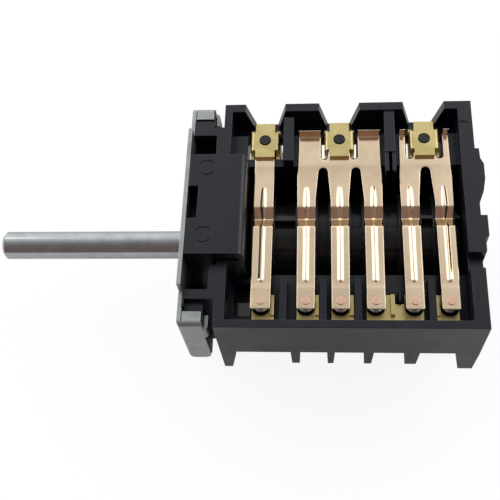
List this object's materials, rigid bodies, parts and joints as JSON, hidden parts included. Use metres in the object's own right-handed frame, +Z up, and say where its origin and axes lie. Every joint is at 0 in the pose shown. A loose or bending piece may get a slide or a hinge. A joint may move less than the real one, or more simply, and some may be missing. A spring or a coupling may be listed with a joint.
{
  "type": "oven selector switch",
  "caption": "Cam-operated rotary selector switch: steel shaft and mounting plate on a black moulded housing, open side with bronze leaf-spring contacts.",
  "frame": {"origin": "on the shaft axis, centre of the two fixing holes, at the mounting plate's front face", "axes": "+X along the shaft into the switch, +Y across it towards the common terminals, +Z up towards the open contact side"},
  "size_m": [0.1016, 0.0502, 0.0374],
  "materials": {
    "housing_black": "semi-gloss moulded thermoset",
    "drum_black": "semi-gloss moulded plastic",
    "zinc_plate": "satin zinc plating",
    "shaft_steel": "bright plated steel",
    "spring_bronze": "bright rolled bronze strip",
    "terminal_brass": "stamped brass",
    "contact_rivet": "satin copper",
    "contact_silver": "satin silver"
  },
  "bodies": {
    "base": {"contact_housing": "housing_black", "detent_housing": "housing_black", "mounting_plate": "zinc_plate", "common_terminal_1": "terminal_brass", "common_terminal_2": "terminal_brass", "common_terminal_3": "terminal_brass", "leaf_spring_single": "spring_bronze", "leaf_spring_triple": "spring_bronze", "leaf_spring_double": "spring_bronze", "fixed_terminal_1": "terminal_brass", "fixed_terminal_2": "terminal_brass", "fixed_terminal_3": "terminal_brass", "fixed_terminal_4": "terminal_brass", "fixed_terminal_5": "terminal_brass", "moving_contact_1": "contact_rivet", "moving_contact_2": "contact_rivet", "moving_contact_3": "contact_rivet", "moving_contact_4": "contact_rivet", "moving_contact_5": "contact_rivet", "moving_contact_6": "contact_rivet", "fixed_contact_1": "contact_silver", "fixed_contact_2": "contact_silver", "fixed_contact_3": "contact_silver", "fixed_contact_4": "contact_silver", "fixed_contact_5": "contact_silver", "fixed_contact_6": "contact_silver", "detent_spring_upper": "shaft_steel", "detent_spring_lower": "shaft_steel"},
    "rotor": {"shaft": "shaft_steel", "cam_drum": "drum_black", "detent_wheel": "drum_black"},
    "upper_ball": {"detent_ball_upper": "shaft_steel"},
    "lower_ball": {"detent_ball_lower": "shaft_steel"}
  },
  "joints": [
    {"name": "shaft_turn", "type": "hinge", "parent": "base", "child": "rotor", "pos_m": [0, 0, 0], "axis": [1, 0, 0], "continuous": true},
    {"name": "upper_ball_lift", "type": "slide", "parent": "base", "child": "upper_ball", "axis": [0, 0, 1], "range_m": [0, 0.0012], "stiffness_N_per_m": 400, "springref_m": -0.002, "deforming": ["detent_spring_upper"]},
    {"name": "lower_ball_lift", "type": "slide", "parent": "base", "child": "lower_ball", "axis": [0, 0, -1], "range_m": [0, 0.0012], "stiffness_N_per_m": 400, "springref_m": -0.002, "deforming": ["detent_spring_lower"]}
  ]
}
